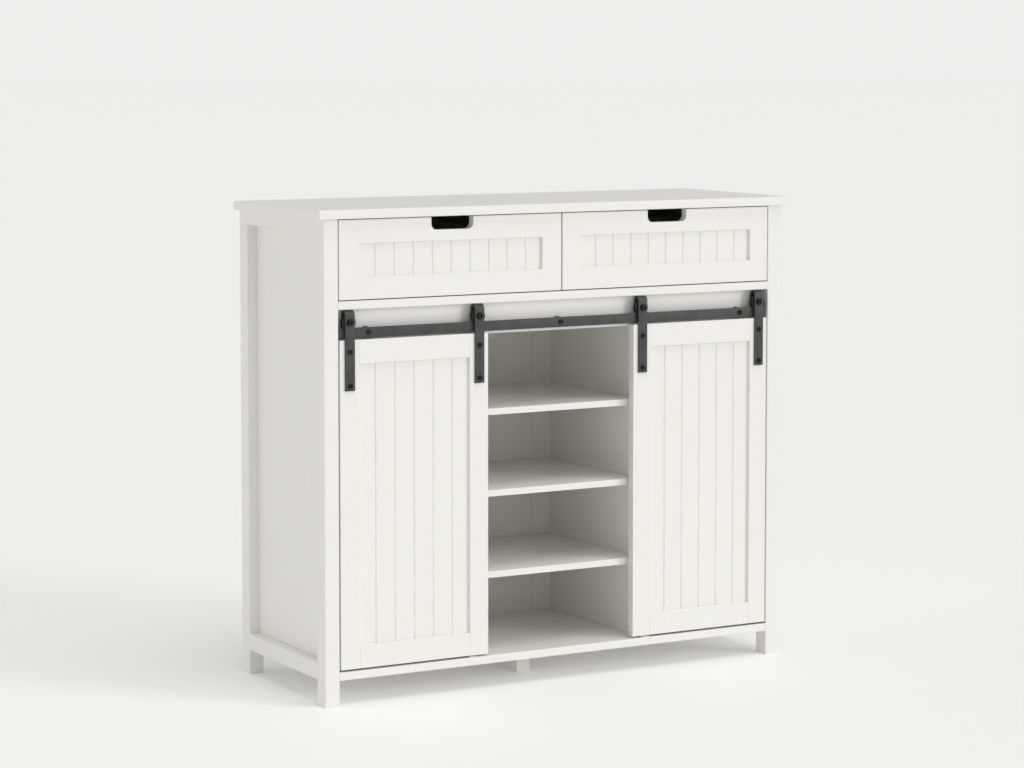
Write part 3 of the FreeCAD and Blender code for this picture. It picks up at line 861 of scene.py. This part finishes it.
@dataclass(frozen=True)
class Beading:
    """Upright grooves at an even pitch: a V with soft shoulders, centred on a board."""

    pitch: float = 42 * MM
    depth: float = 1.9 * MM
    half_width: float = 2.3 * MM
    shoulder: float = 0.6
    steps: int = 13

    def centres(self, middle: float, count: int) -> np.ndarray:
        """The grooves' middle lines, a pitch apart and even about the middle."""
        return middle + (np.arange(count) - (count - 1) / 2) * self.pitch

    def depth_at(self, x: np.ndarray, middle: float, count: int) -> np.ndarray:
        """How far the face is cut back at each x.

        It is depth times (1 - |d| / half width) to the power of 1 / (1 - shoulder / 2), where d is
        the distance to the nearest groove's middle line.

        Args:
            x: Places across the board.
            middle: The middle of the grooves.
            count: How many grooves there are.

        Returns:
            The depths.
        """
        centres = self.centres(middle, count)
        distance = np.abs(x[:, None] - centres[None, :]).min(axis=1)
        slope = np.clip(1 - distance / self.half_width, 0, 1)
        return self.depth * slope ** (1 / (1 - self.shoulder / 2))

    def stations(self, low: float, high: float, middle: float, count: int) -> np.ndarray:
        """Places across a board with enough points over each groove.

        Args:
            low: The board's left edge.
            high: The board's right edge.
            middle: The middle of the grooves.
            count: How many grooves there are.

        Returns:
            Sorted places from low to high.
        """
        centres = self.centres(middle, count)
        across = np.linspace(-1, 1, self.steps) * self.half_width
        places = np.concatenate([[low, high], (centres[:, None] + across[None, :]).ravel()])
        return np.unique(np.clip(places, low, high))

    def board(self, low: np.ndarray, high: np.ndarray, count: int) -> Solid:
        """A thin upright board with the same grooves in its front and its back.

        Args:
            low: The board's lowest corner.
            high: The board's highest corner.
            count: How many grooves there are.

        Returns:
            The board, whose outline across X and Y is carried up Z.
        """
        middle = float(low[0] + high[0]) / 2
        x = self.stations(float(low[0]), float(high[0]), middle, count)
        cut = self.depth_at(x, middle, count)
        front = np.stack([x, low[1] + cut], axis=-1)
        rear = np.stack([x, high[1] - cut], axis=-1)[::-1]
        outline = np.concatenate([front, rear])
        heights = np.array((low[2], high[2]))
        rings = np.zeros((2, len(outline), 3))
        rings[..., :2] = outline[None]
        rings[..., 2] = heights[:, None]
        return loft(rings)


@dataclass
class Door:
    """One sliding door: its beaded panel, hangers, bolts and axles."""

    side: Side
    bolt_head: float = 3.4 * MM
    bolt_grip: float = 12.0 * MM
    rear_tail: float = 32.5 * MM
    beads: int = 5
    hangers: list[Hanger] = field(init=False)

    def __post_init__(self) -> None:
        """Finds the two hangers."""
        self.hangers = [Hanger(self.side, end) for end in End]

    @property
    def body(self) -> str:
        """The CAD body of the door."""
        return f"{self.side.label}_door"

    def bolts(self) -> Solid:
        """The four bolts through the straps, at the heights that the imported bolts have."""
        low, high = size_of(f"{self.side.label}_door_bolts")
        fastener = Fastener()
        heights = (float(low[2]) + fastener.head_radius, float(high[2]) - fastener.head_radius)
        solids = []
        for hanger in self.hangers:
            length = self.bolt_grip + hanger.thickness
            places = [(hanger.middle, float(hanger.low[1]), z) for z in heights]
            solids += [fastener.solid(place, self.bolt_head, length) for place in places]
        return joined(solids)

    def build(self, finishes: Finishes) -> None:
        """Builds the door's own pieces.

        Args:
            finishes: The sideboard's finishes.
        """
        node = f"{self.body}_panel"
        board = Beading().board(*size_of(node), self.beads)
        panel = make_piece(
            f"{node}_beaded", board, self.body, "painted_wood", finishes, FINE_CREASE
        )
        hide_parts(node)
        for hanger in self.hangers:
            hanger.build(float(hanger.high[2]) - self.rear_tail, finishes)
        axles = joined([hanger.axle() for hanger in self.hangers])
        for kind, solid in {"bolts": self.bolts(), "axles": axles}.items():
            node = f"{self.body}_{kind}"
            name = f"{node}_socketed"
            piece = make_piece(
                name, solid, self.body, "black_steel", finishes, finish="bolt_black"
            )
            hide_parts(node)


@dataclass
class DrawerRunners:
    """The two steel members on a drawer's sides, each with two ball races in its outward face."""

    side: Side
    thickness: float = 10.5 * MM
    race_depth: float = 1.7 * MM
    race_half: float = 1.8 * MM
    race_inset: float = 4.6 * MM
    edge: float = 0.5 * MM

    def section(self, height: float) -> np.ndarray:
        """The member's outline: depth behind its outward face, and height above its lower edge.

        Args:
            height: The member's height.

        Returns:
            Points in the shape (count, 2).
        """
        half = self.race_half
        races = [
            point
            for middle in (self.race_inset, height - self.race_inset)
            for point in ((0.0, middle - half), (self.race_depth, middle), (0.0, middle + half))
        ]
        lower = [(self.thickness, 0.0), (self.edge, 0.0), (0.0, self.edge)]
        upper = [(0.0, height - self.edge), (self.edge, height), (self.thickness, height)]
        return np.array([*lower, *races, *upper])

    def member(self, face: float, inward: int, low: np.ndarray, high: np.ndarray) -> Solid:
        """One member along Y, bevelled at both ends.

        Args:
            face: The X place of its outward face.
            inward: The sign of X from that face into the member.
            low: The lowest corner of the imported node.
            high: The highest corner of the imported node.

        Returns:
            The member.
        """
        height = float(high[2] - low[2])
        outline = self.section(height)
        middle = np.array((self.thickness, height)) / 2
        places = [low[1], low[1] + self.edge, high[1] - self.edge, high[1]]
        bevelled = 1 - 2 * self.edge / self.thickness
        shrink = np.array([bevelled, 1.0, 1.0, bevelled])
        flat = middle + (outline - middle)[None] * shrink[:, None, None]
        rings = np.zeros((*flat.shape[:2], 3))
        rings[..., 0] = face + inward * flat[..., 0]
        rings[..., 1] = np.array(places)[:, None]
        rings[..., 2] = low[2] + flat[..., 1]
        return loft(rings if inward > 0 else rings[:, ::-1])

    def build(self, finishes: Finishes) -> None:
        """Builds both members.

        Args:
            finishes: The sideboard's finishes.
        """
        body = f"{self.side.label}_drawer"
        node = f"{body}_runners"
        low, high = size_of(node)
        faces = ((float(low[0]), 1), (float(high[0]), -1))
        members = joined([self.member(face, inward, low, high) for face, inward in faces])
        piece = make_piece(f"{node}_raced", members, body, "runner_steel", finishes, FINE_CREASE)
        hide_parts(node)


@dataclass
class Track:
    """The flat bar, its bolts and spacers, and the stops at its ends."""

    edge_round: float = 0.6 * MM
    bolt_head: float = 2.6 * MM
    stop_width: float = 4.0 * MM
    barrel: float = 6.0 * MM
    flange: float = 11.0 * MM
    body: str = "carcass"

    def bolt_places(self) -> np.ndarray:
        """X places of the three bolts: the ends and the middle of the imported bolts' box."""
        low, high = size_of("track_bolts")
        reach = Fastener().head_radius
        return np.linspace(low[0] + reach, high[0] - reach, 3)

    def spacers(self) -> Solid:
        """Turned spacers, each with a flange against the fascia."""
        low, high = size_of("track_spacers")
        standoff = float(high[1] - low[1])
        height = float(low[2] + high[2]) / 2
        profile = [
            (self.barrel - 0.6 * MM, 0.0),
            (self.barrel, 0.6 * MM),
            (self.barrel, standoff - 4.2 * MM),
            (self.barrel + 0.8 * MM, standoff - 3.2 * MM),
            (self.flange - 0.6 * MM, standoff - 2.8 * MM),
            (self.flange, standoff - 2.2 * MM),
            (self.flange, standoff),
        ]
        places = [(x, float(low[1]), height) for x in self.bolt_places()]
        return joined([turned(profile, place, sides=48) for place in places])

    def stops(self) -> Solid:
        """The two blocks at the track's ends."""
        low, high = size_of("track_stops")
        lefts = (float(low[0]), float(high[0]) - self.stop_width)
        corners = [((x, low[1], low[2]), (x + self.stop_width, high[1], high[2])) for x in lefts]
        return joined([rounded_block(*pair, self.edge_round) for pair in corners])

    def build(self, finishes: Finishes) -> None:
        """Builds the track's pieces.

        Args:
            finishes: The sideboard's finishes.
        """
        low, high = size_of("track_bar")
        height = float(low[2] + high[2]) / 2
        length = float(size_of("track_bolts")[1][1] - low[1])
        fastener = Fastener()
        places = [(x, float(low[1]), height) for x in self.bolt_places()]
        pieces = {
            "track_bar": rounded_block(low, high, self.edge_round),
            "track_bolts": joined([fastener.solid(p, self.bolt_head, length) for p in places]),
            "track_spacers": self.spacers(),
            "track_stops": self.stops(),
        }
        for node, solid in pieces.items():
            finish = "bolt_black" if node == "track_bolts" else "black_steel"
            name = f"{node}_finished"
            piece = make_piece(name, solid, self.body, "black_steel", finishes, finish=finish)
            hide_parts(node)


@dataclass
class BackPins:
    """Flat-headed pins that hold the thin back to the boards behind which it lies."""

    head_radius: float = 3.4 * MM
    head_height: float = 0.8 * MM
    dimple_radius: float = 1.1 * MM
    spacing: float = 118 * MM
    inset: float = 14 * MM
    per_row: int = 9
    sides: int = 20
    body: str = "carcass"

    def places(self) -> list[tuple[float, float]]:
        """The pins' places (x, z): rows along the flat boards and columns up the partitions."""
        low, high = size_of("back_panel")
        across = np.linspace(low[0] + self.inset, high[0] - self.inset, self.per_row)
        places = []
        for node in ("bottom_board", "drawer_deck", "rear_rail"):
            node_low, node_high = size_of(node)
            places += [(float(x), float(node_low[2] + node_high[2]) / 2) for x in across]
        for side in Side:
            node_low, node_high = size_of(f"partition_{side.label}")
            count = round(float(node_high[2] - node_low[2]) / self.spacing)
            heights = np.linspace(node_low[2], node_high[2], count + 2)[1:-1]
            places += [(float(node_low[0] + node_high[0]) / 2, float(z)) for z in heights]
        return places

    def build(self, finishes: Finishes) -> None:
        """Builds all the pins as one piece.

        Args:
            finishes: The sideboard's finishes.
        """
        rear = float(size_of("back_panel")[1][1])
        profile = [
            (self.head_radius * 0.4, -self.head_height),
            (self.head_radius, -self.head_height / 2),
            (self.head_radius, self.head_height / 2),
            (self.head_radius * 0.85, self.head_height),
            (self.dimple_radius, self.head_height),
            (self.dimple_radius * 0.4, self.head_height * 0.4),
        ]
        pins = [turned(profile, (x, rear, z), self.sides) for x, z in self.places()]
        make_piece("back_pins", joined(pins), self.body, "runner_steel", finishes)


def dress_nodes(finishes: Finishes) -> None:
    """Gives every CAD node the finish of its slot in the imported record.

    Args:
        finishes: The sideboard's finishes.
    """
    slots = {entry["node"]: entry["material_slot"] for entry in frame["record"]["subparts"]}
    for name, node in frame["nodes"].items():
        finishes.dress(node, slots[name])
    LOG.info("dressed %d CAD nodes", len(frame["nodes"]))


# -------------------------------------------------------------------------------------------------
# Studio
# -------------------------------------------------------------------------------------------------


@dataclass(frozen=True)
class Lamp:
    """A far, soft light."""

    name: str
    power: float
    spread: float
    source: Triple

    def build(self) -> None:
        """Adds the light, shining from its source's direction."""
        data = bpy.data.lights.new(self.name, "SUN")
        data.energy = self.power
        data.angle = math.radians(self.spread)
        light = bpy.data.objects.new(self.name, data)
        light.rotation_euler = (-Vector(self.source)).to_track_quat("-Z", "Y").to_euler()
        bpy.context.scene.collection.objects.link(light)


@dataclass
class Studio:
    """A plain pale floor, soft light from the front and above, and the camera."""

    eye: Triple = (-2.9194, -5.1663, 1.2668)
    yaw: float = 29.4
    pitch: float = -4.2
    lens: float = 102.18
    shift: float = -0.1196
    sensor: float = 36.0
    sight: float = 200.0
    floor_reach: float = 90.0
    floor_light: Colour = (0.93, 0.93, 0.925)
    floor_shade: Colour = (0.92, 0.92, 0.915)
    floor_glow: float = 0.1
    ambient: float = 0.44
    backdrop: float = 0.855
    lamps: tuple[Lamp, ...] = (
        Lamp("key", 0.88, 20.0, (0.66, -0.76, 0.3)),
        Lamp("top", 0.95, 40.0, (0.05, -0.35, 1.0)),
        Lamp("fill", 0.45, 60.0, (-0.85, 0.45, 0.25)),
    )

    def camera(self) -> None:
        """Stands the camera at the eye, turned from +Y to +X by the yaw, raised by the pitch."""
        yaw, pitch = math.radians(self.yaw), math.radians(self.pitch)
        level = math.cos(pitch)
        forward = Vector((math.sin(yaw) * level, math.cos(yaw) * level, math.sin(pitch)))
        data = bpy.data.cameras.new("camera")
        data.lens = self.lens
        data.sensor_width = self.sensor
        data.sensor_fit = "HORIZONTAL"
        data.shift_y = self.shift
        data.clip_end = self.sight
        camera = bpy.data.objects.new("camera", data)
        camera.location = self.eye
        camera.rotation_euler = forward.to_track_quat("-Z", "Y").to_euler()
        bpy.context.scene.collection.objects.link(camera)
        bpy.context.scene.camera = camera

    def lights(self) -> None:
        """A soft key light from the front right, one from above, and one from behind the left."""
        for lamp in self.lamps:
            lamp.build()

    def sky(self) -> None:
        """An even white surround, dimmer as a light than as the backdrop that the camera sees."""
        world = bpy.data.worlds.new("studio")
        world.use_nodes = True
        tree = world.node_tree
        background = tree.nodes["Background"]
        background.inputs["Color"].default_value = STUDIO_WHITE
        path = tree.nodes.new("ShaderNodeLightPath")
        level = tree.nodes.new("ShaderNodeMapRange")
        level.inputs["To Min"].default_value = self.ambient
        level.inputs["To Max"].default_value = self.backdrop
        tree.links.new(path.outputs["Is Camera Ray"], level.inputs["Value"])
        tree.links.new(level.outputs["Result"], background.inputs["Strength"])
        bpy.context.scene.world = world

    def floor(self) -> None:
        """A wide pale floor at the height of the feet, with a faint plaster-like unevenness."""
        corners = np.array([(-1, -1, 0), (1, -1, 0), (1, 1, 0), (-1, 1, 0)]) * self.floor_reach
        mesh = bpy.data.meshes.new("floor")
        mesh.from_pydata(corners.tolist(), [], [(0, 1, 2, 3)])
        floor = bpy.data.objects.new("floor", mesh)
        bpy.context.scene.collection.objects.link(floor)
        net = Network("pale_floor")
        cloud = net.noise(0.8, 3.0)
        inputs = {
            "Base Color": net.blend(cloud, self.floor_shade, self.floor_light),
            "Roughness": 0.7,
            "Emission Color": STUDIO_WHITE,
            "Emission Strength": self.floor_glow,
        }
        mesh.materials.append(net.finish(inputs, cloud, 0.2 * MM, 0.2))

    def build(self) -> None:
        """Builds the whole studio."""
        self.camera()
        self.floor()
        self.lights()
        self.sky()
        bpy.context.scene.view_settings.view_transform = "Standard"


def main() -> None:
    """Builds the sideboard from the carcass outwards, then the studio."""
    logging.basicConfig(level=logging.INFO, format="%(name)s: %(message)s")
    finishes = Finishes.build()
    dress_nodes(finishes)
    BackPins().build(finishes)
    Track().build(finishes)
    for side in Side:
        Door(side).build(finishes)
        DrawerRunners(side).build(finishes)
    Studio().build()


if __name__ == "__main__":
    main()
